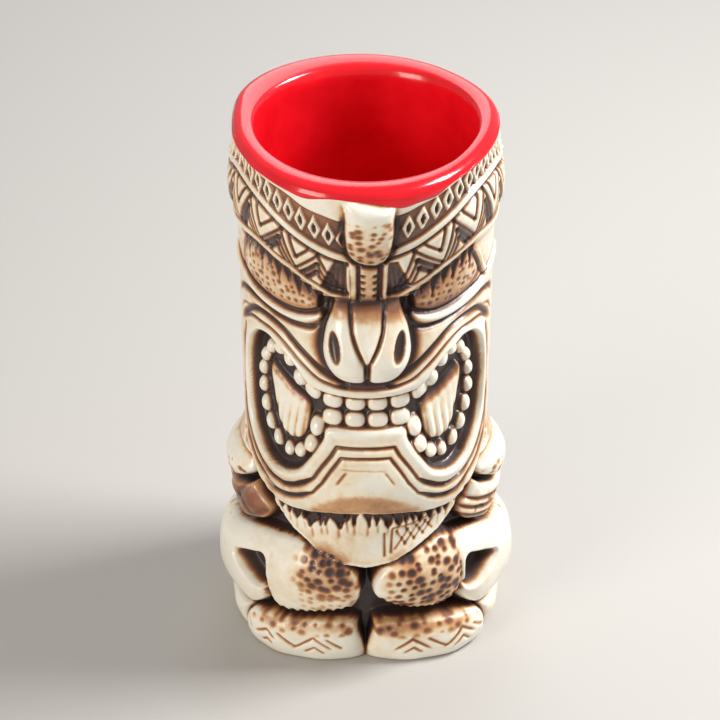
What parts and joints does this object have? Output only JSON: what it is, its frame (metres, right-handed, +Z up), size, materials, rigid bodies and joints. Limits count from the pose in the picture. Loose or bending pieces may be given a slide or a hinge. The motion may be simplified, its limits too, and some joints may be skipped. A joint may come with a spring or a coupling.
{
  "type": "tiki mug",
  "caption": "Carved ceramic drinking mug in the form of a squatting grimacing figure, stained cream and brown outside, with a glossy red glaze lining rolled over a plectrum-shaped rim",
  "frame": {"origin": "the middle of the flat base, on the cup's own axis", "axes": "+Z up along the cup's axis; the face looks along -Y; +X is to the right of someone facing the mug"},
  "size_m": [0.0876, 0.0837, 0.16],
  "materials": {
    "stained_ceramic": "cream earthenware under a satin clear glaze, with brown stain left in the hollows and worn off the high places",
    "red_glaze": "thick glossy red glaze"
  },
  "bodies": {
    "root": {"vessel": "stained_ceramic", "lining_glaze": "red_glaze", "headband": "stained_ceramic", "forehead_knob": "stained_ceramic", "brow_tab": "stained_ceramic", "eye_left": "stained_ceramic", "eye_right": "stained_ceramic", "lower_lid_left": "stained_ceramic", "lower_lid_right": "stained_ceramic", "nose_bridge": "stained_ceramic", "nostril_left": "stained_ceramic", "nostril_right": "stained_ceramic", "cheek_left": "stained_ceramic", "cheek_right": "stained_ceramic", "upper_lip": "stained_ceramic", "lower_lip": "stained_ceramic", "chin_plate": "stained_ceramic", "upper_teeth": "stained_ceramic", "lower_teeth": "stained_ceramic", "bead_teeth_left": "stained_ceramic", "bead_teeth_right": "stained_ceramic", "tongue_left": "stained_ceramic", "tongue_right": "stained_ceramic", "beard": "stained_ceramic", "shoulder_left": "stained_ceramic", "shoulder_right": "stained_ceramic", "upper_arm_left": "stained_ceramic", "upper_arm_right": "stained_ceramic", "forearm_left": "stained_ceramic", "forearm_right": "stained_ceramic", "fist_left": "stained_ceramic", "fist_right": "stained_ceramic", "foot_left": "stained_ceramic", "foot_right": "stained_ceramic", "heel_left": "stained_ceramic", "heel_right": "stained_ceramic", "head_back": "stained_ceramic", "torso_back": "stained_ceramic"}
  },
  "joints": []
}
